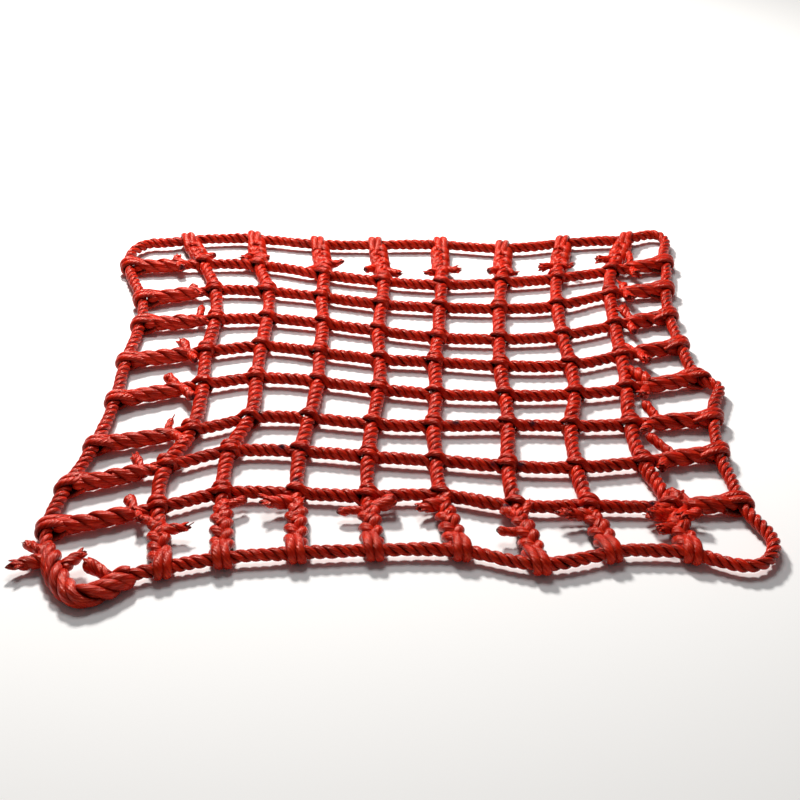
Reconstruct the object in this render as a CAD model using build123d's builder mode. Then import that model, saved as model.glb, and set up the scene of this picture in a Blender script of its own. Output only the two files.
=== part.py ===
from build123d import *
import math
import os

os.makedirs("parts", exist_ok=True)

# A square cargo climbing net of laid rope, lying flat: eight row ropes run left to right, eight
# column ropes run far to near through the opened lay of the rows, and one border rope runs round
# them all through an eye splice at each rope's end. X is right, Y is far, Z is up.

# Driving dimensions, in mm
rope_dia = 18.0
rope_radius = rope_dia / 2
clearance = 0.25  # between a rope and the lay or the eye that it passes through
net_height = 15.0  # middle plane of the net over the ground it lies on
knot_radius = 14.6  # a row's lay, opened round a column
knot_width = 21.0
eye_radius = 15.0
eye_width = 19.0
splice_radius = 13.5  # rope and its own returned strands, tucked together
splice_share = 0.72  # of the run from the eye to the first crossing
splice_chamfer = 3.6
tail_share = 0.58  # where the cut strand ends stand out
tail_lean = 72.0  # degrees from the splice's own direction
tail_length = 30.0
tail_base = 5.0
tail_tip = 3.0
arc_share = 0.45  # of the shorter run, taken by the arc at each corner of a route

# The net folds in half between columns 4 and 5, and each corner loop bends up and down
fold_x = 8.0
fold_gap = 17.0  # rope left free to bend on either side of the fold
loop_reach = 24.0  # from the chord between a loop's two eyes out to its bending line
loop_gap = 9.5
half_space = 700.0

# Where the column ropes cross each row rope, row 1 at the far side, column 1 at the left
crossings = [
    [(-355, 405), (-260, 405), (-135, 360), (-30, 335), (70, 320), (175, 330), (270, 345), (370, 375)],
    [(-325, 310), (-230, 300), (-140, 280), (-35, 250), (65, 240), (165, 235), (265, 240), (360, 295)],
    [(-310, 200), (-225, 205), (-130, 185), (-40, 160), (60, 135), (160, 130), (265, 140), (355, 180)],
    [(-320, 90), (-230, 115), (-135, 90), (-35, 65), (50, 60), (155, 45), (270, 45), (355, 80)],
    [(-310, -10), (-230, 15), (-130, 0), (-35, -25), (55, -40), (160, -45), (270, -40), (350, -25)],
    [(-310, -145), (-225, -100), (-140, -105), (-45, -125), (45, -130), (160, -125), (250, -130), (340, -125)],
    [(-345, -240), (-255, -190), (-150, -195), (-50, -210), (50, -220), (150, -235), (250, -240), (345, -225)],
    [(-340, -340), (-255, -295), (-150, -300), (-50, -310), (50, -300), (155, -335), (255, -330), (375, -335)],
]

# The border rope, clockwise from the far left corner
far_side = [(-395, 500), (-340, 508), (-280, 510), (-150, 480), (-50, 480), (70, 485), (185, 460)]
far_side += [(305, 490), (365, 497), (415, 500)]
far_right_loop = [(455, 525), (480, 522), (490, 490), (475, 450)]
right_side = [(475, 405), (470, 360), (460, 310), (450, 212), (455, 105), (458, 55), (465, 5)]
right_side += [(500, -15), (482, -55), (470, -100), (460, -205), (467, -268), (470, -330)]
near_right_loop = [(480, -360), (496, -395), (496, -430), (475, -460), (445, -465), (415, -452)]
near_side = [(385, -435), (335, -429), (285, -430), (180, -470), (80, -425), (-40, -430)]
near_side += [(-140, -435), (-240, -445), (-320, -470)]
near_left_loop = [(-355, -482), (-380, -510), (-410, -530), (-440, -505), (-465, -450)]
left_side = [(-485, -390), (-475, -285), (-450, -185), (-440, -55), (-445, 60), (-435, 185)]
left_side += [(-445, 270), (-472, 335), (-490, 395)]
far_left_loop = [(-495, 430), (-488, 465), (-465, 490), (-440, 487)]
border = far_side + far_right_loop + right_side + near_right_loop
border += near_side + near_left_loop + left_side + far_left_loop

# Border points that carry an eye splice, in the order of the rows and columns
far_eyes = [far_side[i] for i in (0, 2, 3, 4, 5, 6, 7, 9)]
right_eyes = [right_side[i] for i in (0, 2, 3, 4, 6, 9, 10, 12)]
near_eyes = [near_side[i] for i in (8, 7, 6, 5, 4, 3, 2, 0)]
left_eyes = [left_side[i] for i in (8, 6, 5, 4, 3, 2, 1, 0)]


def vec(point):
    """A route point as a vector in the net's middle plane."""
    return Vector(point[0], point[1], net_height)


def settled(before, point, after):
    """Where a rope really passes beside one corner of its route."""
    return (before + point * 6 + after) * 0.125


def border_at(point):
    """The border rope's route points before, at and after one of them."""
    i = border.index(point)
    return [vec(border[i - 1]), vec(point), vec(border[(i + 1) % len(border)])]


def border_point(point):
    """Where the border rope passes beside one of its route's points."""
    return settled(*border_at(point))


def corner_radii(points):
    """The radius of the arc at each inner corner, as large as its two runs allow."""
    radii = []
    for before, point, after in zip(points, points[1:], points[2:]):
        run_in = point - before
        run_out = after - point
        half_turn = math.radians(run_in.get_angle(run_out)) / 2
        radii.append(arc_share * min(run_in.length, run_out.length) / math.tan(half_turn))
    return radii


def rope_tube(points, radius):
    """A round tube along straight runs joined by tangent arcs."""
    with BuildPart() as tube:
        with BuildLine() as route:
            FilletPolyline(*points, radius=corner_radii(points))
        with BuildSketch(Plane(origin=route.line @ 0, z_dir=route.line % 0)):
            Circle(radius)
        sweep(path=route.line)
    return tube.part, sum(edge.length for edge in route.edges())


def splice_end(route):
    """The plane square across a rope where the splice at its first point ends."""
    run = route[1] - route[0]
    return Plane(origin=route[0] + run * splice_share, z_dir=run)


def plain_tube(route):
    """A rope between its two splices."""
    with BuildPart() as plain:
        add(rope_tube(route, rope_radius)[0])
        split(bisect_by=splice_end(route), keep=Keep.TOP)
        split(bisect_by=splice_end(route[::-1]), keep=Keep.TOP)
    return plain.part


def add_splice(route, sides):
    """The thick spliced stretch from a rope's first point on, blunt at its far end, and its tails."""
    run = route[1] - route[0]
    turn = math.degrees(math.atan2(run.Y, run.X))
    with BuildPart(mode=Mode.PRIVATE) as thick:
        add(rope_tube(route[:3], splice_radius)[0])
        split(bisect_by=splice_end(route), keep=Keep.BOTTOM)
        chamfer(thick.faces().sort_by_distance(route[1])[0].edges(), length=splice_chamfer)
    add(thick.part)
    for side in sides:
        lean = math.radians(turn + side * tail_lean)
        tail = Plane(origin=route[0] + run * tail_share, z_dir=(math.cos(lean), math.sin(lean), 0.1))
        with Locations(tail):
            Cone(tail_base, tail_tip, tail_length, align=(Align.CENTER, Align.CENTER, Align.MIN))


def add_wrap(passing, radius, width):
    """The lay of one rope, wrapped round another that passes at the middle one of three points."""
    middle = settled(*passing)
    square = Plane(origin=middle, z_dir=passing[2] - passing[0])
    with BuildPart(mode=Mode.PRIVATE) as wrap:
        add(rope_tube(passing, radius)[0])
        split(bisect_by=square.offset(-width / 2), keep=Keep.TOP)
        split(bisect_by=square.offset(width / 2), keep=Keep.BOTTOM)
    add(wrap.part)


def cut_passage(points):
    """The way through an eye or a knot for the rope that passes at the middle one of three points."""
    add(rope_tube(points, rope_radius + clearance)[0], mode=Mode.SUBTRACT)


# Routes of the column and row ropes, from eye to eye
column_points = [far_eyes, *crossings, near_eyes]
row_ends = list(zip(left_eyes, right_eyes))

row_routes = []
for (left_eye, right_eye), line in zip(row_ends, crossings):
    row_routes.append([border_point(left_eye), *[vec(p) for p in line], border_point(right_eye)])

column_routes = []
for j in range(8):
    line = [vec(crossings[i][j]) for i in range(8)]
    column_routes.append([border_point(far_eyes[j]), *line, border_point(near_eyes[j])])

print("row radii", [[round(r) for r in corner_radii(route)] for route in row_routes])
print("column radii", [[round(r) for r in corner_radii(route)] for route in column_routes])

border_run = [vec(p) for p in border[-1:] + border + border[:2]]
print("border radii", [round(r) for r in corner_radii(border_run)])


def border_stretch(first, last):
    """The border rope's tube from one of its points to another, with one more run at each end."""
    i = border.index(first) - 1
    j = border.index(last) + 1
    if j < i:
        j += len(border)
    return rope_tube([vec(border[k % len(border)]) for k in range(i, j + 1)], rope_radius)[0]


fold_left = Plane(origin=(fold_x - fold_gap, 0, 0), z_dir=(1, 0, 0))
fold_right = Plane(origin=(fold_x + fold_gap, 0, 0), z_dir=(1, 0, 0))

# Row ropes, each in a left and a right half with the fold between them
for i, route in enumerate(row_routes):
    tube, length = rope_tube(route, rope_radius)
    print("row rope", i + 1, "length", round(length), "volume / (section x length)",
          round(tube.volume / (math.pi * rope_radius ** 2 * length), 4))
    halves = {
        "left": (fold_left, Keep.BOTTOM, route, range(4), left_eyes[i], (1, -1)),
        "right": (fold_right, Keep.TOP, route[::-1], range(4, 8), right_eyes[i], (1, -1) if i else (1,)),
    }
    for name, (fold_plane, kept, half_route, columns, eye, tails) in halves.items():
        with BuildPart() as row_rope:
            add(plain_tube(route))
            split(bisect_by=fold_plane, keep=kept)
            add_splice(half_route, tails)
            for j in columns:
                add_wrap(column_routes[j][i:i + 3], knot_radius, knot_width)
            add_wrap(border_at(eye), eye_radius, eye_width)
            for j in columns:
                cut_passage(column_routes[j][i:i + 3])
            cut_passage(border_at(eye))
        row_rope.part.label = f"row_rope_{i + 1}_{name}"
        export_step(row_rope.part, f"parts/row_rope_{i + 1}_{name}.step")

# Column ropes, whole; the two outer ones have no strand end on their corner side
for j, route in enumerate(column_routes):
    tube, length = rope_tube(route, rope_radius)
    print("column rope", j + 1, "length", round(length), "volume / (section x length)",
          round(tube.volume / (math.pi * rope_radius ** 2 * length), 4))
    with BuildPart() as column_rope:
        add(plain_tube(route))
        add_splice(route, {0: (1,), 7: (-1,)}.get(j, (1, -1)))
        add_splice(route[::-1], {0: (-1,), 7: (1,)}.get(j, (1, -1)))
        for eye in (far_eyes[j], near_eyes[j]):
            add_wrap(border_at(eye), eye_radius, eye_width)
            cut_passage(border_at(eye))
    column_rope.part.label = f"column_rope_{j + 1}"
    export_step(column_rope.part, f"parts/column_rope_{j + 1}.step")

# Bending line of each corner loop, out from the chord between its two eyes
corners = {
    "far_right": (far_side[-1], far_right_loop, right_side[0]),
    "near_right": (right_side[-1], near_right_loop, near_side[0]),
    "near_left": (near_side[-1], near_left_loop, left_side[0]),
    "far_left": (left_side[-1], far_left_loop, far_side[0]),
}
loop_planes = {}
for name, (start, loop, end) in corners.items():
    chord = border_point(end) - border_point(start)
    outward = Vector(-chord.Y, chord.X, 0).normalized()
    hinge = (border_point(start) + border_point(end)) * 0.5 + outward * loop_reach
    loop_planes[name] = (
        Plane(origin=hinge - outward * loop_gap, z_dir=outward),
        Plane(origin=hinge + outward * loop_gap, z_dir=outward),
    )
    print(name, "bending line at", [round(v, 2) for v in hinge], "along",
          [round(v, 4) for v in chord.normalized()])

# Corner loops, and the two short stretches of rope that bend at each one
for name, (start, loop, end) in corners.items():
    inner, outer = loop_planes[name]
    stretch = border_stretch(start, end)
    with BuildPart() as corner_loop:
        add(stretch)
        split(bisect_by=outer, keep=Keep.TOP)
    corner_loop.part.label = f"{name}_loop"
    export_step(corner_loop.part, f"parts/{name}_loop.step")

    with BuildPart() as loop_bends:
        add(stretch)
        split(bisect_by=outer, keep=Keep.BOTTOM)
        split(bisect_by=inner, keep=Keep.TOP)
    loop_bends.part.label = f"{name}_loop_bends"
    export_step(loop_bends.part, f"parts/{name}_loop_bends.step")

# Border rope along the four sides; the far and near sides are parted at the fold
far_tube = border_stretch(far_side[0], far_side[-1])
near_tube = border_stretch(near_side[0], near_side[-1])
side_pieces = {
    "border_left": (border_stretch(left_side[0], left_side[-1]), ("near_left", "far_left"), None),
    "border_right": (border_stretch(right_side[0], right_side[-1]), ("far_right", "near_right"), None),
    "border_far_left": (far_tube, ("far_left",), Keep.BOTTOM),
    "border_far_right": (far_tube, ("far_right",), Keep.TOP),
    "border_near_left": (near_tube, ("near_left",), Keep.BOTTOM),
    "border_near_right": (near_tube, ("near_right",), Keep.TOP),
}
for name, (tube, loops, fold_side) in side_pieces.items():
    with BuildPart() as border_piece:
        add(tube)
        if fold_side == Keep.BOTTOM:
            split(bisect_by=fold_left, keep=Keep.BOTTOM)
        if fold_side == Keep.TOP:
            split(bisect_by=fold_right, keep=Keep.TOP)
        for loop in loops:
            split(bisect_by=loop_planes[loop][0], keep=Keep.BOTTOM)
    border_piece.part.label = name
    export_step(border_piece.part, f"parts/{name}.step")

# The ten short stretches of rope that bend when the net is folded in half
with BuildPart() as fold_bends:
    for route in row_routes:
        add(rope_tube(route, rope_radius)[0])
    add(far_tube)
    add(near_tube)
    split(bisect_by=fold_left, keep=Keep.TOP)
    split(bisect_by=fold_right, keep=Keep.BOTTOM)
fold_bends.part.label = "fold_bends"
export_step(fold_bends.part, "parts/fold_bends.step")
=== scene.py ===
import math
import random

import bpy
import numpy as np
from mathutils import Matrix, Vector


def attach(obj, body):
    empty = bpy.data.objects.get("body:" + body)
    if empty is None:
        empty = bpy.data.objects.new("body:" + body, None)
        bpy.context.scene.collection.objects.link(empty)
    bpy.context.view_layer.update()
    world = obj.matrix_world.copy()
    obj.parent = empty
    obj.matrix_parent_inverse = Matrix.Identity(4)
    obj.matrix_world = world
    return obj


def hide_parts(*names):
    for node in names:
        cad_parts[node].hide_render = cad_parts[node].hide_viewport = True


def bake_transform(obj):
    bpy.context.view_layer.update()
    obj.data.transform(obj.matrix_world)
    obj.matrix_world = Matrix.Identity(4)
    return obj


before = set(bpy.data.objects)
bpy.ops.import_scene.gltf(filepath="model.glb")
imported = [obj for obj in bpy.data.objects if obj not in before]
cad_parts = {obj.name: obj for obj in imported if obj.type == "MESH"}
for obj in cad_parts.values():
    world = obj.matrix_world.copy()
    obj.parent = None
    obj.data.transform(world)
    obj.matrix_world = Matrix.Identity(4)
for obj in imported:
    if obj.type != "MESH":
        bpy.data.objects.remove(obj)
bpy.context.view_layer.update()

# a cargo climbing net of three-strand laid rope, lying flat, in metres:
# eight row ropes, eight column ropes that pass through the rows' opened lay,
# and one border rope that every rope end is eye spliced round

# where the columns cross each row, row 1 at the far side, column 1 at the left
crossings = [
    [(-0.355, 0.405), (-0.26, 0.405), (-0.135, 0.36), (-0.03, 0.335),
     (0.07, 0.32), (0.175, 0.33), (0.27, 0.345), (0.37, 0.375)],
    [(-0.325, 0.31), (-0.23, 0.3), (-0.14, 0.28), (-0.035, 0.25),
     (0.065, 0.24), (0.165, 0.235), (0.265, 0.24), (0.36, 0.295)],
    [(-0.31, 0.2), (-0.225, 0.205), (-0.13, 0.185), (-0.04, 0.16),
     (0.06, 0.135), (0.16, 0.13), (0.265, 0.14), (0.355, 0.18)],
    [(-0.32, 0.09), (-0.23, 0.115), (-0.135, 0.09), (-0.035, 0.065),
     (0.05, 0.06), (0.155, 0.045), (0.27, 0.045), (0.355, 0.08)],
    [(-0.31, -0.01), (-0.23, 0.015), (-0.13, 0), (-0.035, -0.025),
     (0.055, -0.04), (0.16, -0.045), (0.27, -0.04), (0.35, -0.025)],
    [(-0.31, -0.145), (-0.225, -0.1), (-0.14, -0.105), (-0.045, -0.125),
     (0.045, -0.13), (0.16, -0.125), (0.25, -0.13), (0.34, -0.125)],
    [(-0.345, -0.24), (-0.255, -0.19), (-0.15, -0.195), (-0.05, -0.21),
     (0.05, -0.22), (0.15, -0.235), (0.25, -0.24), (0.345, -0.225)],
    [(-0.34, -0.34), (-0.255, -0.295), (-0.15, -0.3), (-0.05, -0.31),
     (0.05, -0.3), (0.155, -0.335), (0.255, -0.33), (0.375, -0.335)],
]

# the border rope's route, clockwise from the far left corner
farSide = [(-0.395, 0.5), (-0.34, 0.508), (-0.28, 0.51), (-0.15, 0.48), (-0.05, 0.48),
           (0.07, 0.485), (0.185, 0.46), (0.305, 0.49), (0.365, 0.497), (0.415, 0.5)]
farRightLoop = [(0.455, 0.525), (0.48, 0.522), (0.49, 0.49), (0.475, 0.45)]
rightSide = [(0.475, 0.405), (0.47, 0.36), (0.46, 0.31), (0.45, 0.212), (0.455, 0.105),
             (0.458, 0.055), (0.465, 0.005), (0.5, -0.015), (0.482, -0.055), (0.47, -0.1),
             (0.46, -0.205), (0.467, -0.268), (0.47, -0.33)]
nearRightLoop = [(0.48, -0.36), (0.496, -0.395), (0.496, -0.43), (0.475, -0.46),
                 (0.445, -0.465), (0.415, -0.452)]
nearSide = [(0.385, -0.435), (0.335, -0.429), (0.285, -0.43), (0.18, -0.47), (0.08, -0.425),
            (-0.04, -0.43), (-0.14, -0.435), (-0.24, -0.445), (-0.32, -0.47)]
nearLeftLoop = [(-0.355, -0.482), (-0.38, -0.51), (-0.41, -0.53), (-0.44, -0.505), (-0.465, -0.45)]
leftSide = [(-0.485, -0.39), (-0.475, -0.285), (-0.45, -0.185), (-0.44, -0.055), (-0.445, 0.06),
            (-0.435, 0.185), (-0.445, 0.27), (-0.472, 0.335), (-0.49, 0.395)]
farLeftLoop = [(-0.495, 0.43), (-0.488, 0.465), (-0.465, 0.49), (-0.44, 0.487)]
border = (farSide + farRightLoop + rightSide + nearRightLoop
          + nearSide + nearLeftLoop + leftSide + farLeftLoop)

# the border points that carry an eye, in the order of the rows and columns
farEyes = [farSide[i] for i in (0, 2, 3, 4, 5, 6, 7, 9)]
rightEyes = [rightSide[i] for i in (0, 2, 3, 4, 6, 9, 10, 12)]
nearEyes = [nearSide[i] for i in (8, 7, 6, 5, 4, 3, 2, 0)]
leftEyes = [leftSide[i] for i in (8, 6, 5, 4, 3, 2, 1, 0)]

rope = {
    "height": 0.015,        # middle plane of the net over the ground
    "strandOut": 0.0054,    # strand middle from the rope's middle
    "strandThick": 0.0043,  # half a strand, across the rope
    "strandWide": 0.0047,   # half a strand, round the rope
    "lay": 0.043,           # rope length for one turn of a strand
    "step": 0.0021,         # between the rings of a strand
    "sides": 12,
    "ground": 0.0003,       # the lowest that a strand lies over the floor
    "columnSwell": 1.12,    # the column ropes are laid softer and fatter
    "borderSwell": 0.98,
    "borderLap": 0.003,     # of two border pieces, inside a corner eye
    "rowSeed": 0.37,        # from one row rope to the next
    "columnSeed": 0.41,
    "columnFirst": 3,
    "borderSeed": 5.1,
    # waves of unevenness along the strands, as waver takes them
    "loose": [(0.07, 37, 0, 2), (0.04, 101, 0, 1)],
    "twist": [(0.22, 52, 0, 5), (0.12, 143, 0, 1)],
    "uneven": [(0.07, 61, 2.1, 1), (0.05, 173, 1, 1)],
}

crossing = {
    "over": 0.0128,         # strand middle over the column rope
    "under": 0.0106,        # and under it
    "spread": 0.0065,       # two strands side by side over it
    "sideways": 0.5,        # how level a strand's turn is before it spreads
    "thick": 0.0046,
    "wide": 0.0065,
    "upright": 0.8,         # how far a parted strand's flat side stays level
    "slant": 0.3,           # how far a strand works sideways as it passes over
    "slantReach": 0.014,
    "reach": 0.0106,        # half length of the opened lay
    "grip": 0.0085,         # half length of the column rope that the lay grips
    "columnOut": 0.0045,    # the column rope, gripped
    "columnThick": 0.0035,
    "columnWide": 0.0044,
    "still": 0.0085,        # half length over which the row's strands stop turning
    "slowest": 0.03,
    "tighter": 1.08,        # the lay between two crossings, against the free lay
}

# the maker's pen marks beside some crossings: row, column, and the way from the crossing
inkMark = {"size": 0.0062, "height": 0.024}
penned = [(6, 5, 0.035, 0), (6, 6, 0.035, -0.008), (7, 6, -0.02, -0.006), (7, 6, 0.02, -0.005),
          (8, 6, -0.012, -0.005), (7, 7, 0.01, 0.012), (6, 6, -0.008, 0.012), (6, 2, 0.01, -0.003),
          (6, 3, 0.014, 0), (7, 3, 0.008, -0.005), (8, 3, 0, 0.02), (7, 3, -0.026, 0),
          (7, 8, 0, 0.015), (8, 8, -0.03, 0)]
inkSpots = [np.array([crossings[row - 1][column - 1][0] + x, crossings[row - 1][column - 1][1] + y,
                      inkMark["height"]]) for row, column, x, y in penned]

rng = random.Random(7)
up = np.array([0.0, 0.0, 1.0])


def lifted(point):
    return np.array([point[0], point[1], rope["height"]])


def settled(before, point, after):
    # where a rope passes when it is pulled towards this point by its route
    return (lifted(before) + 6 * lifted(point) + lifted(after)) / 8


def borderAt(point):
    i = border.index(point)
    return settled(border[i - 1], point, border[(i + 1) % len(border)])


def borderDirection(point):
    i = border.index(point)
    run = lifted(border[(i + 1) % len(border)]) - lifted(border[i - 1])
    return run / np.linalg.norm(run)


def smoothLine(points, step, closed=False):
    # the smooth line that these control points pull, read back evenly along its length
    curve = bpy.data.curves.new("route", "CURVE")
    curve.dimensions = "3D"
    spline = curve.splines.new("NURBS")
    spline.points.add(len(points) - 1)
    for pull, point in zip(spline.points, points):
        pull.co = (*point, 1)
    spline.order_u = 3
    spline.use_endpoint_u = not closed
    spline.use_cyclic_u = closed
    spline.resolution_u = 16
    route = bpy.data.objects.new("route", curve)
    mesh = bpy.data.meshes.new_from_object(route)
    line = np.empty(len(mesh.vertices) * 3)
    mesh.vertices.foreach_get("co", line)
    line = line.reshape(-1, 3)
    if closed:
        line = np.vstack([line, line[:1]])
    bpy.data.meshes.remove(mesh)
    bpy.data.objects.remove(route)
    bpy.data.curves.remove(curve)
    return evenly(line, step)


def evenly(line, step):
    # the same line with points a step apart, and how far along it each one is
    gone = np.r_[0, np.cumsum(np.linalg.norm(np.diff(line, axis=0), axis=1))]
    count = max(4, int(round(gone[-1] / step)) + 1)
    along = np.linspace(0, gone[-1], count)
    return np.stack([np.interp(along, gone, line[:, k]) for k in range(3)], 1), along


def waver(along, waves, strand=0, seed=0.0):
    # unevenness; a wave is its size, its rate and how far the strand and the seed shift it
    return sum(size * np.sin(along * rate + strand * strandShift + seed * seedShift)
               for size, rate, strandShift, seedShift in waves)


def sideways(run):
    # level, and square to the run
    side = np.cross(up, run)
    return side / np.linalg.norm(side, axis=1)[:, None]


def directions(line):
    run = np.gradient(line, axis=0)
    return run / np.linalg.norm(run, axis=1)[:, None]


class Bundle:
    # collects tubes and turns them into one mesh

    def __init__(self):
        self.points = []
        self.faces = []
        self.loopUvs = []
        self.crestLit = []
        self.ink = []

    def tube(self, line, along, outward, thick, wide, sides=rope["sides"], offset=0.0,
             ridges=0, ridge=0.0, ridgeTurn=0.0, ink=0.0):
        # a closed tube along a line; outward is each ring's thick direction
        run = directions(line)
        out = outward - run * np.sum(outward * run, 1)[:, None]
        size = np.linalg.norm(out, axis=1)
        out = out / np.maximum(size, 1e-9)[:, None]
        across = np.cross(run, out)
        angle = np.arange(sides) / sides * 2 * math.pi
        thick = np.broadcast_to(thick, len(line))[:, None, None]
        wide = np.broadcast_to(wide, len(line))[:, None, None]
        swell = 1 + ridge * np.sin(ridges * angle[None, :] + ridgeTurn * along[:, None])[..., None]
        rings = (line[:, None, :] + out[:, None, :] * np.cos(angle)[None, :, None] * thick * swell
                 + across[:, None, :] * np.sin(angle)[None, :, None] * wide * swell)
        rings[..., 2] = np.maximum(rings[..., 2], rope["ground"])    # pressed flat where it lies
        first = len(self.points)
        count = len(line)
        self.points.extend(rings.reshape(-1, 3))
        # painted shade mask: 1 on the side each tube faces outward, 0 on its inner side, where strands
        # meet
        crestLit = 0.5 + 0.5 * np.cos(angle)
        self.crestLit.extend(np.broadcast_to(crestLit, (count, sides)).reshape(-1))
        self.ink.extend(np.repeat(np.broadcast_to(ink, count), sides))
        for i in range(count - 1):
            a = first + i * sides
            b = a + sides
            u0 = along[i] + offset
            u1 = along[i + 1] + offset
            for k in range(sides):
                m = (k + 1) % sides
                self.faces.append((a + k, a + m, b + m, b + k))
                v0 = k / sides
                v1 = (k + 1) / sides
                self.loopUvs.extend((u0, v0, u0, v1, u1, v1, u1, v0))
        for ring, order in ((first, -1), (first + (count - 1) * sides, 1)):
            # a small round patch of the strand's pattern closes each end
            self.faces.append(tuple(range(ring, ring + sides)[::order]))
            for k in range(sides):
                self.loopUvs.extend((along[0] + 0.001 * math.cos(angle[k]), 0.001 * math.sin(angle[k])))

    def piece(self, name, material):
        mesh = bpy.data.meshes.new(name)
        mesh.from_pydata([tuple(p) for p in self.points], [], self.faces)
        uvs = mesh.uv_layers.new(name="strandUv")
        uvs.data.foreach_set("uv", np.array(self.loopUvs, np.float32))
        crestLit = mesh.attributes.new("crestLit", "FLOAT", "POINT")
        crestLit.data.foreach_set("value", np.array(self.crestLit, np.float32))
        marks = np.array(self.ink, np.float32)
        spots = np.array(self.points)
        for place in inkSpots:
            away = np.linalg.norm(spots - place, axis=1) / inkMark["size"]
            marks = np.maximum(marks, np.exp(-away ** 4))
        ink = mesh.attributes.new("ink", "FLOAT", "POINT")
        ink.data.foreach_set("value", marks.astype(np.float32))
        mesh.polygons.foreach_set("use_smooth", [True] * len(mesh.polygons))
        mesh.materials.append(material)
        piece = bpy.data.objects.new(name, mesh)
        bpy.context.scene.collection.objects.link(piece)
        return piece


def turnsAlong(along, stops, lay, start=0.0):
    # the strands' turn along a rope: it stands still at each stop, on a sixth of a turn
    rate = np.ones(len(along))
    for stop in stops:
        rate -= np.exp(-((along - stop) / crossing["still"]) ** 2)
    rate = np.maximum(rate, crossing["slowest"])
    turn = np.r_[0, np.cumsum((rate[1:] + rate[:-1]) / 2 * np.diff(along))]
    marks = [0.0, *np.interp(stops, along, turn), turn[-1]]
    wanted = [start]
    sixth = math.pi / 3
    for k in range(1, len(marks)):
        natural = (marks[k] - marks[k - 1]) * 2 * math.pi / lay * crossing["tighter"]
        if k == len(marks) - 1:
            wanted.append(wanted[-1] + natural)
        elif k == 1:
            goal = round((wanted[-1] + natural - math.pi / 2) / sixth) * sixth + math.pi / 2
            wanted.append(goal)
        else:
            wanted.append(wanted[-1] + max(1, round(natural / sixth)) * sixth)
    return np.interp(turn, marks, wanted)


def near(along, stops, reach, power=4):
    # 1 at each stop, falling to 0 past its reach
    share = np.zeros(len(along))
    for stop in stops:
        share = np.maximum(share, np.exp(-(np.abs(along - stop) / reach) ** power))
    return share


def layRope(bundle, line, along, turn, begin, end, squeezes=(), opened=(), seed=0.0, swell=1.0):
    # three strands laid round a line, gripped at squeezes, parted where opened says
    keep = (along >= begin) & (along <= end)
    line, along, turn = line[keep], along[keep], turn[keep]
    side = sideways(directions(line))
    grip = near(along, squeezes, crossing["grip"])
    parted = near(along, opened, crossing["reach"])
    loose = 1 + waver(along, rope["loose"], seed=seed)
    turn = turn + waver(along, rope["twist"], seed=seed) * (1 - parted)
    passed = np.zeros(len(along))
    if len(opened):
        gaps = along[:, None] - np.array(opened)[None, :]
        nearest = gaps[np.arange(len(along)), np.abs(gaps).argmin(1)]
        passed = np.clip(nearest, -crossing["slantReach"], crossing["slantReach"])
    for k in range(3):
        angle = turn + k * 2 * math.pi / 3
        uneven = 1 + waver(along, rope["uneven"], k, seed)
        out = rope["strandOut"] * swell * loose * (1 - grip) + crossing["columnOut"] * grip
        x = np.cos(angle) * out
        z = np.sin(angle) * out
        level = np.where(np.abs(np.cos(angle)) > crossing["sideways"], np.sign(np.cos(angle)), 0.0)
        farX = level * crossing["spread"] - np.sign(np.sin(angle)) * passed * crossing["slant"]
        farZ = np.where(np.sin(angle) > 0, crossing["over"], -crossing["under"])
        x = x * (1 - parted) + farX * parted
        z = z * (1 - parted) + farZ * parted
        thick = rope["strandThick"] * swell * (1 - grip) + crossing["columnThick"] * grip
        thick = thick * (1 - parted) + crossing["thick"] * parted
        wide = rope["strandWide"] * swell * (1 - grip) + crossing["columnWide"] * grip
        wide = wide * (1 - parted) + crossing["wide"] * parted
        offset = side * x[:, None] + up * z[:, None]
        outward = side * (x * (1 - crossing["upright"] * parted))[:, None] + up * z[:, None]
        bundle.tube(line + offset, along, outward, thick * uneven, wide * uneven, offset=k * 0.7 + seed)


# the thick stretch of a splice, wound in the rows and in the border, plaited in the columns
thickLay = {
    "strands": 3,
    "lay": 0.072,          # length for one turn of a strand
    "out": 0.0074,         # strand middle from the splice's middle
    "flat": 0.94,
    "thick": 0.0059,
    "wide": 0.0074,
    "plump": 1.0,
    "blunt": 0.16,         # share of its length over which the far end tapers
    "blend": 0.12,         # and over which the near end swells
    "nearSize": 0.74,      # its size at the near end
    "farSize": 0.5,        # and at the far end
    "farSlope": 0.45,
    "thinnest": 0.45,      # how much of a strand's width the taper leaves
    "twist": [(0.22, 44, 2.6, 7)],
    "wander": [(0.10, 95, 1.9, 3), (0.05, 210, 1, 0)],
    "uneven": [(0.07, 130, 3, 1)],
}
# out and height are against the wound strands' way out
plait = {"out": 1.38, "height": 0.62, "lean": 0.7, "thick": 0.0064, "wide": 0.0077}
borderSplice = {
    **thickLay,
    "strands": 4,
    "lay": 0.086,
    "out": 0.0100,
    "plump": 1.02,
    "blunt": 0.10,
    "begins": 0.15,        # shares of the corner loop
    "ends": 0.86,
    "seed": 0.3,
    "endSeed": 0.4,
}


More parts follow.
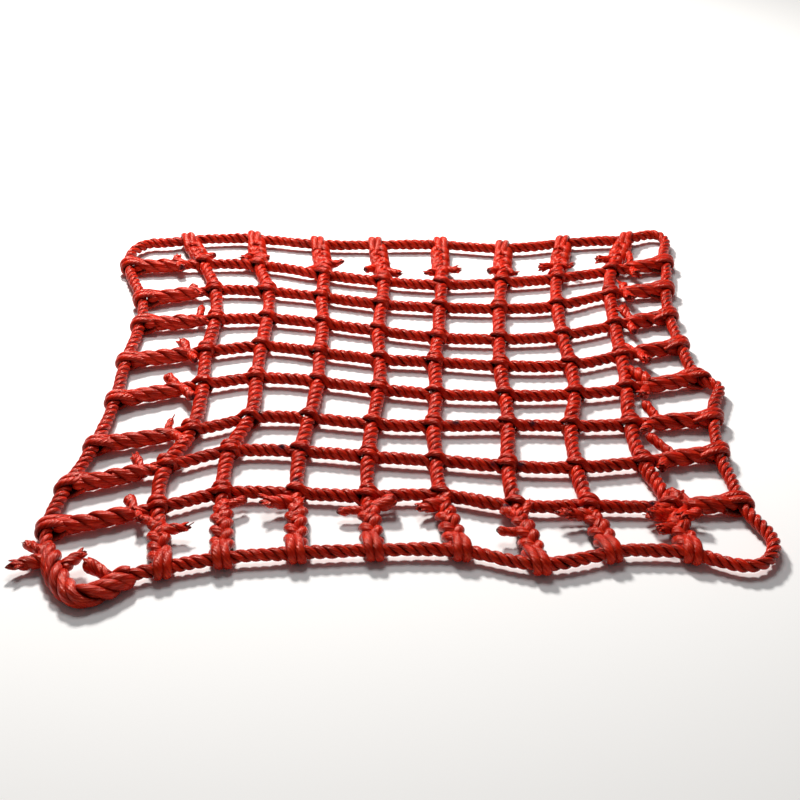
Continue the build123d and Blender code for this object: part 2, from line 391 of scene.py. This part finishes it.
def layThick(bundle, line, along, begin, end, look, plaited=False, seed=0.0):
    # the rope and its returned strands, wound or tucked together
    keep = (along >= begin) & (along <= end)
    line, along = line[keep], along[keep]
    side = sideways(directions(line))
    share = (along - begin) / (end - begin)
    swelling = share / look["blend"] + look["nearSize"]
    taper = (1 - share) / look["blunt"] * look["farSlope"] + look["farSize"]
    body = np.minimum(1, np.minimum(swelling, taper))
    for k in range(look["strands"]):
        turn = (along - begin) / look["lay"] * 2 * math.pi + k * 2 * math.pi / look["strands"] + seed * 5
        turn += waver(along, look["twist"], k, seed)
        reach = look["out"] * body * (1 + waver(along, look["wander"], k, seed))
        plump = (look["thinnest"] + (1 - look["thinnest"]) * body) * look["plump"]
        plump = plump * (1 + waver(along, look["uneven"], k, seed))
        if plaited:
            # tucked over one and under the next, so the strands cross in a chevron
            aside, high = np.sin(turn) * plait["out"], np.sin(2 * turn) * plait["height"]
            thick, wide = plait["thick"], plait["wide"]
        else:
            aside, high = np.cos(turn), np.sin(turn) * look["flat"]
            thick, wide = look["thick"], look["wide"]
        offset = side * (aside * reach)[:, None] + up * (high * reach)[:, None]
        outward = up + side * (np.sin(turn) * plait["lean"])[:, None] if plaited else offset
        bundle.tube(line + offset, along, outward, thick * plump, wide * plump, offset=k * 0.9 + seed)


eyeShape = {
    "over": 0.0118,      # strand middle over the border rope
    "under": 0.0104,     # and under it
    "round": 0.0126,     # and outside it
    "thick": 0.0046,
    "wide": 0.0066,
    "apart": 0.0122,     # between its two strands
    "lean": 0.0085,      # how far it works along the border rope
    "flat": 0.8,
    "uneven": [(0.08, 120, 4, 9)],
}


def eyeWrap(bundle, eye, run, alongBorder, seed):
    # two plump strands side by side, over, round and back under the border rope
    over, under, bow = eyeShape["over"], eyeShape["under"], eyeShape["round"]
    # along the rope from the border rope's middle, and up from it
    shape = [(0.032, 0.0030), (0.022, 0.0072), (0.0125, over * 0.93), (0.004, over),
             (-0.0045, over * 0.93), (-bow * 0.86, bow * 0.50), (-bow, 0.0),
             (-bow * 0.86, -bow * 0.46), (-0.0045, -under * 0.93), (0.004, -under),
             (0.0125, -under * 0.86), (0.020, -0.0058), (0.028, -0.0020)]
    lean = eyeShape["lean"] * (1 if seed > 0.5 else -1)
    for k in (-0.5, 0.5):
        points = []
        for i, (u, z) in enumerate(shape):
            share = i / (len(shape) - 1)
            inner = max(0.0, min(1.0, (u - 0.008) / 0.03))    # the strands close up behind the eye
            v = k * eyeShape["apart"] * (1 - 0.25 * inner) + lean * (share - 0.5)
            points.append(eye + run * u + alongBorder * v + up * z)
        line, along = smoothLine(points, rope["step"])
        outward = line - (eye + run * 0.004)
        outward -= alongBorder * np.sum(outward * alongBorder, 1)[:, None] * eyeShape["flat"]
        uneven = 1 + waver(along, eyeShape["uneven"], k, seed)
        bundle.tube(line, along, outward, eyeShape["thick"] * uneven, eyeShape["wide"] * uneven,
                    offset=k * 0.4 + seed)


# a strand's cut end: a pointed leaf, a blunt finger or an opened tuft
cutEnd = {
    "step": 0.0018,
    "bend": 0.3,           # most that it bends aside, for its length
    "rise": 0.25,          # most that its tip stands up, for its length
    "riseLength": 0.036,
    "rootIn": 0.006,       # how far it starts inside the splice
    "lowest": 0.006,       # its tip's middle over the ground
    "lay": 0.034,
    "out": 0.42,           # the strand's twisted yarns, against its size
    "thick": 0.62,
    "wide": 0.66,
    "sides": 14,
    "ridges": {"ridges": 4, "ridge": 0.09, "ridgeTurn": 260},
    "burntFrom": 0.86,     # share of its length
    "uneven": [(0.06, 420, 0, 0)],
    "leaf": {"strands": 2, "lobes": 2, "fibres": 3, "size": 0.62, "flat": 0.84, "burnt": 0.35},
    "finger": {"strands": 3, "lobes": 0, "fibres": 1, "size": 0.56, "flat": 0.84, "burnt": 0.85},
    "tuft": {"strands": 3, "lobes": 8, "fibres": 10, "size": 0.52, "flat": 0.72, "burnt": 0.35},
}

# bunches of yarns that have opened away from the end, and single yarns: least and most of where
# they leave it, how long they are against it, and how far they spread
lobe = {"start": (0.5, 0.7), "reach": (0.30, 0.46), "spread": (0.35, 0.8), "lowest": 0.003,
        "width": 0.21, "uneven": (0.8, 1.2), "sides": 9,
        "ridges": {"ridges": 3, "ridge": 0.12, "ridgeTurn": 300}}
yarn = {"start": (0.5, 0.9), "reach": (0.15, 0.32), "spread": (0.2, 0.7), "lowest": 0.0012,
        "width": (0.0012, 0.0005), "uneven": (0.7, 1.2), "sides": 5, "step": 0.0035}


def endSize(kind, share, along, width):
    # half the width along a cut end
    size = cutEnd[kind]["size"] * width
    if kind == "leaf":
        return size * np.clip(np.sin(math.pi * np.clip(share * 0.74 + 0.25, 0, 1)), 0.02, 1) ** 0.7
    if kind == "finger":
        return size * np.sqrt(np.clip((1 - share) / 0.16, 0.03, 1)) * (1 + waver(along, cutEnd["uneven"]))
    return size * (0.72 + 0.45 * share) * np.sqrt(np.clip((1 - share) / 0.25, 0.03, 1))


def strandEnd(bundle, root, direction, length, width, kind, seed):
    form = cutEnd[kind]
    bend = np.cross(direction, up) * rng.uniform(-cutEnd["bend"], cutEnd["bend"]) * length
    rise = up * rng.uniform(0.0, cutEnd["rise"]) * min(length, cutEnd["riseLength"])
    tip = root + direction * length + bend + rise
    tip[2] = max(tip[2], cutEnd["lowest"])
    shape = [root - direction * cutEnd["rootIn"],
             root + direction * length * 0.35 + bend * 0.1 + up * 0.0015,
             root + direction * length * 0.75 + bend * 0.6 + rise * 0.6,
             tip]
    line, along = smoothLine(shape, cutEnd["step"])
    share = along / along[-1]
    run = directions(line)
    side = sideways(run)
    top = np.cross(run, side)
    size = endSize(kind, share, along, width)
    burnt = np.clip((share - cutEnd["burntFrom"]) / 0.1, 0, 1) * form["burnt"]
    for k in range(form["strands"]):
        turn = along / cutEnd["lay"] * 2 * math.pi + k * 2 * math.pi / form["strands"] + seed * 6
        out = size * cutEnd["out"]
        offset = (side * (np.cos(turn) * out)[:, None]
                  + top * (np.sin(turn) * out * form["flat"])[:, None])
        bundle.tube(line + offset, along, offset, size * cutEnd["thick"] * form["flat"],
                    size * cutEnd["wide"], sides=cutEnd["sides"], offset=k * 0.5 + seed,
                    **cutEnd["ridges"], ink=burnt)
    for k in range(form["lobes"]):
        start = line[int(len(line) * rng.uniform(*lobe["start"]))]
        away = side[-1] * math.cos(k * 2.4 + seed) + top[-1] * math.sin(k * 2.4 + seed) * 0.7
        reach = length * rng.uniform(*lobe["reach"])
        lobeTip = start + run[-1] * reach + away * reach * rng.uniform(*lobe["spread"])
        lobeTip[2] = max(lobeTip[2], lobe["lowest"])
        waist = start + away * width * 0.3 + run[-1] * reach * 0.35
        bunch, bunchAlong = smoothLine([start, waist, lobeTip + away * 0.001], cutEnd["step"])
        taper = np.sqrt(np.clip((1 - bunchAlong / bunchAlong[-1]) / 0.6, 0.05, 1))
        thin = width * lobe["width"] * taper * rng.uniform(*lobe["uneven"])
        outward = np.broadcast_to(top[-1] + away * 0.2, bunch.shape)
        bundle.tube(bunch, bunchAlong, outward, thin * 0.7, thin * 1.25, sides=lobe["sides"],
                    offset=rng.random(), **lobe["ridges"])
    for k in range(form["fibres"]):
        start = line[int(len(line) * rng.uniform(*yarn["start"]))]
        away = side[-1] * rng.uniform(-1, 1) + top[-1] * rng.uniform(-0.5, 1)
        reach = length * rng.uniform(*yarn["reach"])
        yarnTip = start + run[-1] * reach + away * reach * rng.uniform(*yarn["spread"])
        yarnTip[2] = max(yarnTip[2], yarn["lowest"])
        middle = (start + yarnTip) / 2 + away * reach * 0.12
        thread, threadAlong = smoothLine([start, middle, yarnTip], yarn["step"])
        thin = np.linspace(*yarn["width"], len(thread)) * rng.uniform(*yarn["uneven"])
        outward = np.broadcast_to(away + up * 0.1, thread.shape)
        bundle.tube(thread, threadAlong, outward, thin, thin * 1.3, sides=yarn["sides"],
                    offset=rng.random())


# polypropylene fibre; each kind of rope gets a copy a little lighter or darker, the rows' darker copy
# being painted shade and the columns' lighter copy painted light
ropeLook = {
    "red": (0.64, 0.0115, 0.0028),
    "orange": (0.88, 0.055, 0.0115),    # the lightest fibres
    "paintedShade": (0.055, 0.0006, 0.0003),    # painted shade between the strands
    "ink": (0.008, 0.007, 0.018),
    "shade": 0.62,                      # the darkest fibres, against red
    "tones": (0.34, 0.66),
    "roughness": 0.25,
    "specular": 0.38,
    "specularTint": (1.0, 0.45, 0.33, 1),
    "yarns": 7.0,                       # to a strand
    "yarnTwist": 22.0,                  # turns per metre of strand
    "yarnHeight": 0.24,
    "fibreLength": 18.0,
    "fibreScale": 5.5,
    "fibreDetail": (5.0, 0.65),
    "wearScale": 38.0,                  # worn and fresh patches
    "wearDetail": 3.0,
    "wearFrom": (0.35, 0.7),
    "wear": (0.72, 1.12),
    "paintedShadeValley": (0.22, 0.93),             # how far up a strand the painted shade between strands goes
    "bump": 0.9,
    "bumpDepth": 0.0011,
}


def feed(tree, socket, value):
    # a socket takes another node's output, or a plain value
    if isinstance(value, bpy.types.NodeSocket):
        tree.links.new(value, socket)
    else:
        socket.default_value = value


def mathNode(tree, operation, *values):
    node = tree.nodes.new("ShaderNodeMath")
    node.operation = operation
    for socket, value in zip(node.inputs, values):
        feed(tree, socket, value)
    return node.outputs[0]


def noiseNode(tree, vector, scale, detail, roughness=0.5):
    node = tree.nodes.new("ShaderNodeTexNoise")
    node.inputs["Scale"].default_value = scale
    node.inputs["Detail"].default_value = detail
    node.inputs["Roughness"].default_value = roughness
    tree.links.new(vector, node.inputs["Vector"])
    return node.outputs["Fac"]


def rangeNode(tree, value, fromLow, fromHigh, toLow=0.0, toHigh=1.0):
    node = tree.nodes.new("ShaderNodeMapRange")
    node.inputs["From Min"].default_value = fromLow
    node.inputs["From Max"].default_value = fromHigh
    node.inputs["To Min"].default_value = toLow
    node.inputs["To Max"].default_value = toHigh
    tree.links.new(value, node.inputs["Value"])
    return node.outputs["Result"]


def mixNode(tree, factor, first, second, blend="MIX"):
    node = tree.nodes.new("ShaderNodeMix")
    node.data_type = "RGBA"
    node.blend_type = blend
    feed(tree, node.inputs["Factor"], factor)
    feed(tree, node.inputs["A"], first)
    feed(tree, node.inputs["B"], second)
    return node.outputs["Result"]


def attributeNode(tree, name):
    node = tree.nodes.new("ShaderNodeAttribute")
    node.attribute_name = name
    return node.outputs["Fac"]


def scaled(colour, brightness):
    return (*[min(1, part * brightness) for part in colour], 1)


def ropeMaterial(name, brightness):
    material = bpy.data.materials.new(name)
    material.use_nodes = True
    tree = material.node_tree
    shader = tree.nodes["Principled BSDF"]
    shader.inputs["Roughness"].default_value = ropeLook["roughness"]
    shader.inputs["Specular IOR Level"].default_value = ropeLook["specular"]
    shader.inputs["Specular Tint"].default_value = ropeLook["specularTint"]
    uv = tree.nodes.new("ShaderNodeUVMap")
    uv.uv_map = "strandUv"
    split = tree.nodes.new("ShaderNodeSeparateXYZ")
    tree.links.new(uv.outputs["UV"], split.inputs["Vector"])
    # yarns run along the strand with a slow twist of their own
    twist = mathNode(tree, "MULTIPLY_ADD", split.outputs["X"], ropeLook["yarnTwist"], split.outputs["Y"])
    circle = mathNode(tree, "MULTIPLY", twist, 2 * math.pi)
    place = tree.nodes.new("ShaderNodeCombineXYZ")
    tree.links.new(mathNode(tree, "SINE", circle), place.inputs["X"])
    tree.links.new(mathNode(tree, "COSINE", circle), place.inputs["Y"])
    length = mathNode(tree, "MULTIPLY", split.outputs["X"], ropeLook["fibreLength"])
    tree.links.new(length, place.inputs["Z"])
    fibres = noiseNode(tree, place.outputs["Vector"], ropeLook["fibreScale"], *ropeLook["fibreDetail"])
    tone = tree.nodes.new("ShaderNodeValToRGB")
    darkest, lightest = tone.color_ramp.elements
    darkest.position, lightest.position = ropeLook["tones"]
    darkest.color = scaled(ropeLook["red"], ropeLook["shade"] * brightness)
    lightest.color = scaled(ropeLook["orange"], brightness)
    tone.color_ramp.elements.new(0.5).color = scaled(ropeLook["red"], brightness)
    tree.links.new(fibres, tone.inputs["Fac"])
    # worn and fresh patches, the painted shade between the strands, and the pen marks
    coordinates = tree.nodes.new("ShaderNodeTexCoord")
    patches = noiseNode(tree, coordinates.outputs["Object"], ropeLook["wearScale"],
                        ropeLook["wearDetail"])
    wear = rangeNode(tree, patches, *ropeLook["wearFrom"], *ropeLook["wear"])
    worn = mixNode(tree, 1.0, tone.outputs["Color"], wear, "MULTIPLY")
    # painted shade: colour darkened towards each tube's inner side, between the strands
    paintedShadeValley = rangeNode(tree, attributeNode(tree, "crestLit"), *ropeLook["paintedShadeValley"])
    paintedShade = mixNode(tree, paintedShadeValley, (*ropeLook["paintedShade"], 1), worn)
    inked = mixNode(tree, attributeNode(tree, "ink"), paintedShade, (*ropeLook["ink"], 1))
    tree.links.new(inked, shader.inputs["Base Color"])
    # plump yarns with fine fibres on them
    yarns = mathNode(tree, "SINE", mathNode(tree, "MULTIPLY", circle, ropeLook["yarns"]))
    relief = mathNode(tree, "MULTIPLY_ADD", yarns, ropeLook["yarnHeight"], fibres)
    bump = tree.nodes.new("ShaderNodeBump")
    bump.inputs["Strength"].default_value = ropeLook["bump"]
    bump.inputs["Distance"].default_value = ropeLook["bumpDepth"]
    tree.links.new(relief, bump.inputs["Height"])
    tree.links.new(bump.outputs["Normal"], shader.inputs["Normal"])
    return material


# the rows' darker copy is painted shade, the columns' lighter copy painted light
rowLay = ropeMaterial("rowRopeFibrePaintedShade", 0.92)
columnLay = ropeMaterial("columnRopeFibrePaintedLight", 1.06)
borderLay = ropeMaterial("borderRopeFibre", 0.95)
spliceLay = ropeMaterial("splicedStrands", 0.96)
cutEnds = ropeMaterial("cutStrandEnds", 1.1)
print("materials ready")

# each rope's line through its crossings, and how far along it they are
route = {"step": 0.001, "search": 0.03}
rowLines = []
for i in range(8):
    points = [borderAt(leftEyes[i]), *[lifted(p) for p in crossings[i]], borderAt(rightEyes[i])]
    rowLines.append(smoothLine(points, route["step"]))
columnLines = []
for j in range(8):
    points = [borderAt(farEyes[j]), *[lifted(crossings[i][j]) for i in range(8)], borderAt(nearEyes[j])]
    columnLines.append(smoothLine(points, route["step"]))

rowStops = [[0.0] * 8 for _ in range(8)]
columnStops = [[0.0] * 8 for _ in range(8)]
for i in range(8):
    for j in range(8):
        rowLine, rowAlong = rowLines[i]
        columnLine, columnAlong = columnLines[j]
        spot = lifted(crossings[i][j])
        rowNear = np.where(np.linalg.norm(rowLine - spot, axis=1) < route["search"])[0]
        columnNear = np.where(np.linalg.norm(columnLine - spot, axis=1) < route["search"])[0]
        gaps = np.linalg.norm(rowLine[rowNear][:, None] - columnLine[columnNear][None], axis=2)
        a, b = np.unravel_index(np.argmin(gaps), gaps.shape)
        rowStops[i][j] = float(rowAlong[rowNear[a]])
        columnStops[j][i] = float(columnAlong[columnNear[b]])

splice = {
    "thickShare": 0.80,    # of the run from the eye to the first crossing
    "start": 0.0100,       # from the border rope's middle
    "cover": 0.45,         # share of the run over which the thick lay hides the rope
    "endOut": 0.005,       # where a cut end comes out, from the rope's middle
    "endUp": 0.004,
    "endLean": 6,          # degrees either way
}

# the cut ends at each splice: share of its run, side, lean from the splice in degrees,
# length, width and kind
strandEnds = {
    "row1Left": [(0.62, 1, 84, 0.034, 0.016, "leaf"), (0.66, -1, 80, 0.018, 0.015, "finger")],
    "row2Left": [(0.64, 1, 60, 0.018, 0.014, "finger"), (0.66, -1, 30, 0.020, 0.012, "leaf")],
    "row3Left": [(0.76, 1, 72, 0.040, 0.0125, "finger"), (0.72, -1, 20, 0.024, 0.013, "leaf")],
    "row4Left": [(0.74, 1, 82, 0.036, 0.020, "tuft"), (0.78, -1, 70, 0.024, 0.013, "finger")],
    "row5Left": [(0.70, 1, 88, 0.034, 0.017, "finger"), (0.74, -1, 62, 0.038, 0.016, "finger")],
    "row6Left": [(0.72, 1, 66, 0.032, 0.011, "finger"), (0.78, -1, 48, 0.034, 0.019, "tuft")],
    "row7Left": [(0.74, 1, 86, 0.030, 0.017, "tuft"), (0.70, -1, 18, 0.030, 0.014, "leaf")],
    "row8Left": [(0.76, 1, 92, 0.028, 0.020, "tuft"), (0.80, -1, 74, 0.024, 0.014, "tuft")],
    "row1Right": [(0.64, 1, 80, 0.030, 0.018, "tuft"), (0.66, -1, 118, 0.044, 0.012, "finger")],
    "row2Right": [(0.70, 1, 84, 0.034, 0.019, "tuft"), (0.68, -1, 92, 0.034, 0.016, "leaf")],
    "row3Right": [(0.74, 1, 78, 0.030, 0.014, "finger"), (0.66, -1, 84, 0.038, 0.018, "tuft")],
    "row4Right": [(0.70, 1, 70, 0.034, 0.017, "tuft"), (0.74, -1, 62, 0.034, 0.014, "finger")],
    "row5Right": [(0.74, 1, 72, 0.032, 0.019, "tuft"), (0.68, -1, 86, 0.050, 0.021, "leaf")],
    "row6Right": [(0.74, 1, 60, 0.036, 0.016, "leaf"), (0.66, -1, 84, 0.040, 0.015, "finger")],
    "row7Right": [(0.72, 1, 78, 0.026, 0.019, "tuft"), (0.56, -1, 70, 0.056, 0.0145, "finger")],
    "row8Right": [(0.70, -1, 58, 0.040, 0.014, "finger"), (0.80, 1, 66, 0.036, 0.018, "tuft"),
                  (0.92, 1, 30, 0.034, 0.018, "tuft")],
    "column1Far": [(0.68, 1, 58, 0.026, 0.013, "finger"), (0.80, -1, 24, 0.020, 0.012, "leaf")],
    "column2Far": [(0.66, -1, 62, 0.032, 0.014, "leaf"), (0.60, 1, 30, 0.028, 0.017, "tuft")],
    "column3Far": [(0.70, -1, 48, 0.034, 0.016, "tuft"), (0.66, 1, 64, 0.034, 0.016, "leaf")],
    "column4Far": [(0.60, -1, 66, 0.030, 0.014, "finger"), (0.68, 1, 44, 0.036, 0.018, "tuft")],
    "column5Far": [(0.66, -1, 60, 0.030, 0.014, "leaf"), (0.60, 1, 70, 0.032, 0.015, "tuft")],
    "column6Far": [(0.62, -1, 40, 0.030, 0.014, "finger"), (0.66, 1, 62, 0.028, 0.014, "leaf")],
    "column7Far": [(0.66, -1, 64, 0.034, 0.016, "tuft"), (0.62, 1, 50, 0.028, 0.014, "leaf")],
    "column8Far": [(0.66, -1, 56, 0.034, 0.016, "tuft"), (0.60, -1, 30, 0.026, 0.014, "leaf")],
    "column1Near": [(0.56, -1, 82, 0.038, 0.015, "leaf"), (0.66, 1, 50, 0.026, 0.015, "tuft")],
    "column2Near": [(0.74, -1, 60, 0.034, 0.013, "finger"), (0.62, -1, 18, 0.028, 0.014, "leaf")],
    "column3Near": [(0.80, 1, 92, 0.046, 0.020, "leaf"), (0.66, -1, 16, 0.026, 0.013, "leaf")],
    "column4Near": [(0.70, 1, 84, 0.040, 0.0125, "finger"), (0.74, -1, 76, 0.034, 0.025, "tuft")],
    "column5Near": [(0.82, 1, 86, 0.034, 0.020, "leaf"), (0.80, -1, 24, 0.024, 0.015, "finger")],
    "column6Near": [(0.50, 1, 88, 0.036, 0.013, "finger"), (0.72, 1, 30, 0.034, 0.019, "tuft"),
                    (0.76, -1, 34, 0.030, 0.017, "tuft")],
    "column7Near": [(0.74, 1, 84, 0.050, 0.017, "leaf"), (0.66, 1, 66, 0.036, 0.015, "tuft"),
                    (0.80, -1, 30, 0.022, 0.013, "leaf")],
    "column8Near": [(0.72, 1, 78, 0.036, 0.021, "tuft"), (0.84, 1, 110, 0.034, 0.020, "tuft"),
                    (0.90, -1, 30, 0.032, 0.018, "tuft"), (0.62, 1, 130, 0.034, 0.019, "tuft"),
                    (0.74, -1, 96, 0.030, 0.020, "tuft")],
}


def addSplice(label, line, along, eyePoint, runLength, body):
    # the eye, thick stretch and cut ends at one end of a rope; line starts at the eye
    seed = rng.random()
    run = directions(line)[2]
    eyeBundle = Bundle()
    eyeWrap(eyeBundle, line[0], run, borderDirection(eyePoint), seed)
    layThick(eyeBundle, line, along, splice["start"], runLength * splice["thickShare"], thickLay,
             plaited=label.startswith("column"), seed=seed)
    eye = eyeBundle.piece("eyeSplice_" + label, spliceLay)
    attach(eye, body)
    endBundle = Bundle()
    turn = math.atan2(run[1], run[0])
    for share, side, leanDegrees, length, width, kind in strandEnds[label]:
        root = line[np.searchsorted(along, runLength * share)]
        lean = leanDegrees + rng.uniform(-splice["endLean"], splice["endLean"])
        lean = turn + side * math.radians(lean)
        direction = np.array([math.cos(lean), math.sin(lean), 0.0])
        root = root + direction * splice["endOut"] + up * rng.uniform(0, splice["endUp"])
        strandEnd(endBundle, root, direction, length, width, kind, rng.random())
    ends = endBundle.piece("strandEnds_" + label, cutEnds)
    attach(ends, body)


# row ropes, each whole across the fold
for i in range(8):
    line, along = evenly(rowLines[i][0], rope["step"])
    stops = rowStops[i]
    turn = turnsAlong(along, stops, rope["lay"], rng.uniform(0, 2))
    bundle = Bundle()
    layRope(bundle, line, along, turn, stops[0] * splice["cover"],
            along[-1] - (along[-1] - stops[-1]) * splice["cover"], opened=stops,
            seed=i * rope["rowSeed"])
    piece = bundle.piece(f"rowRope{i + 1}", rowLay)
    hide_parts(f"row_rope_{i + 1}_left", f"row_rope_{i + 1}_right")
    addSplice(f"row{i + 1}Left", line, along, leftEyes[i], stops[0], "left_half")
    addSplice(f"row{i + 1}Right", line[::-1], along[-1] - along[::-1], rightEyes[i],
              along[-1] - stops[-1], "right_half")
    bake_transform(piece)
print("row ropes laid")

# column ropes, gripped where they pass through the rows
for j in range(8):
    line, along = evenly(columnLines[j][0], rope["step"])
    stops = columnStops[j]
    turn = along * 2 * math.pi / rope["lay"] + rng.uniform(0, 6)
    bundle = Bundle()
    layRope(bundle, line, along, turn, stops[0] * splice["cover"],
            along[-1] - (along[-1] - stops[-1]) * splice["cover"], squeezes=stops,
            seed=rope["columnFirst"] + j * rope["columnSeed"], swell=rope["columnSwell"])
    half = "left_half" if j < 4 else "right_half"
    piece = bundle.piece(f"columnRope{j + 1}", columnLay)
    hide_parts(f"column_rope_{j + 1}")
    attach(piece, half)
    addSplice(f"column{j + 1}Far", line, along, farEyes[j], stops[0], half)
    addSplice(f"column{j + 1}Near", line[::-1], along[-1] - along[::-1], nearEyes[j],
              along[-1] - stops[-1], half)
print("column ropes laid")

# the border rope, one closed length, cut into pieces only inside the corner eyes
borderLine, borderAlong = smoothLine([lifted(p) for p in border], rope["step"], closed=True)
borderTurns = round(borderAlong[-1] / rope["lay"])
borderTurn = borderAlong / borderAlong[-1] * borderTurns * 2 * math.pi


def borderMark(point):
    return float(borderAlong[np.argmin(np.linalg.norm(borderLine - borderAt(point), axis=1))])


eyeMarks = [borderMark(p) for p in farEyes + rightEyes + nearEyes + leftEyes]
borderPieces = {
    "borderFar": (farSide[0], farSide[-1], ("border_far_left", "border_far_right")),
    "borderFarRightLoop": (farSide[-1], rightSide[0], ("far_right_loop", "far_right_loop_bends")),
    "borderRight": (rightSide[0], rightSide[-1], ("border_right",)),
    "borderNearRightLoop": (rightSide[-1], nearSide[0], ("near_right_loop", "near_right_loop_bends")),
    "borderNear": (nearSide[0], nearSide[-1],
                   ("border_near_left", "border_near_right", "fold_bends")),
    "borderNearLeftLoop": (nearSide[-1], leftSide[0], ("near_left_loop", "near_left_loop_bends")),
    "borderLeft": (leftSide[0], leftSide[-1], ("border_left",)),
    "borderFarLeftLoop": (leftSide[-1], farSide[0], ("far_left_loop", "far_left_loop_bends")),
}

# the cut ends of the border rope's own splice: root, tip, width and kind
loopEnds = [((-0.470, -0.450, 0.014), (-0.521, -0.456, 0.010), 0.019, "leaf"),
            ((-0.470, -0.440, 0.017), (-0.506, -0.416, 0.015), 0.015, "finger"),
            ((-0.385, -0.487, 0.020), (-0.412, -0.468, 0.021), 0.024, "tuft"),
            ((-0.440, -0.470, 0.020), (-0.425, -0.440, 0.018), 0.017, "leaf")]


# two rounds of the border, so that a piece may run past the place where it closes
wrapped = np.vstack([borderLine[:-1], borderLine])
wrappedAlong = np.r_[borderAlong[:-1], borderAlong + borderAlong[-1]]
wrappedTurn = np.r_[borderTurn[:-1], borderTurn + borderTurns * 2 * math.pi]
marks = eyeMarks + [mark + borderAlong[-1] for mark in eyeMarks]
for name, (first, last, nodes) in borderPieces.items():
    begin, end = borderMark(first), borderMark(last)
    if end < begin:
        end += borderAlong[-1]
    bundle = Bundle()
    layRope(bundle, wrapped, wrappedAlong, wrappedTurn, begin - rope["borderLap"],
            end + rope["borderLap"], squeezes=marks, seed=rope["borderSeed"],
            swell=rope["borderSwell"])
    if name == "borderNearLeftLoop":
        # the border rope's own two ends, spliced into each other here
        span = end - begin
        layThick(bundle, wrapped, wrappedAlong, begin + span * borderSplice["begins"],
                 begin + span * borderSplice["ends"], borderSplice, seed=borderSplice["seed"])
        for root, tip, width, kind in loopEnds:
            way = np.array(tip) - np.array(root)
            length = np.linalg.norm(way)
            strandEnd(bundle, np.array(root), way / length, length, width, kind,
                      borderSplice["endSeed"])
    piece = bundle.piece(name, borderLay)
    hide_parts(*nodes)
    if "Loop" in name:
        corner = nodes[0].removesuffix("_loop")
        half = "left_half" if corner.endswith("left") else "right_half"
        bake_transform(piece)
    elif name in ("borderFar", "borderNear"):
        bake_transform(piece)
    else:
        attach(piece, "left_half" if name == "borderLeft" else "right_half")
print("border rope laid")

# a pale floor under the net
floorLook = {"half": 6.0, "height": -0.0005, "colour": (0.93, 0.93, 0.93, 1), "roughness": 0.95}
floorCorners = [(x * floorLook["half"], y * floorLook["half"], floorLook["height"])
                for x, y in ((-1, -1), (1, -1), (1, 1), (-1, 1))]
floorMesh = bpy.data.meshes.new("floor")
floorMesh.from_pydata(floorCorners, [], [(0, 1, 2, 3)])
floor = bpy.data.objects.new("floor", floorMesh)
bpy.context.scene.collection.objects.link(floor)
floorMaterial = bpy.data.materials.new("paleFloor")
floorMaterial.use_nodes = True
floorShader = floorMaterial.node_tree.nodes["Principled BSDF"]
floorShader.inputs["Base Color"].default_value = floorLook["colour"]
floorShader.inputs["Roughness"].default_value = floorLook["roughness"]
floorMesh.materials.append(floorMaterial)

# soft round lights, both from behind and above
lights = {
    "keyLight": {"place": (-0.6, 1.6, 1.8), "size": 0.40, "power": 92, "colour": (1.0, 0.97, 0.93)},
    "topLight": {"place": (-0.2, 0.8, 3.0), "size": 1.2, "power": 34, "colour": (1, 1, 1)},
}
worldStrength = 0.10
for name, look in lights.items():
    light = bpy.data.lights.new(name, "AREA")
    light.shape = "DISK"
    light.size = look["size"]
    light.energy = look["power"]
    light.color = look["colour"]
    lamp = bpy.data.objects.new(name, light)
    lamp.location = look["place"]
    lamp.rotation_euler = (-Vector(look["place"])).to_track_quat("-Z", "Y").to_euler()
    bpy.context.scene.collection.objects.link(lamp)
world = bpy.data.worlds.new("studio")
world.use_nodes = True
background = world.node_tree.nodes["Background"]
background.inputs["Color"].default_value = (1, 1, 1, 1)
background.inputs["Strength"].default_value = worldStrength
bpy.context.scene.world = world
bpy.context.scene.view_settings.view_transform = "Standard"

# the camera looks away along +Y and down at the net
view = {"elevation": 32.18, "distance": 2.338, "target": (-0.0033, -0.0314, 0.0), "lens": 67.5,
        "sensor": 36}
cameraData = bpy.data.cameras.new("camera")
cameraData.lens = view["lens"]
cameraData.sensor_width = view["sensor"]
camera = bpy.data.objects.new("camera", cameraData)
tilt = math.radians(view["elevation"])
camera.location = (view["target"][0], view["target"][1] - view["distance"] * math.cos(tilt),
                   view["distance"] * math.sin(tilt))
camera.rotation_euler = (math.pi / 2 - tilt, 0, 0)
bpy.context.scene.collection.objects.link(camera)
bpy.context.scene.camera = camera
print("stage set")
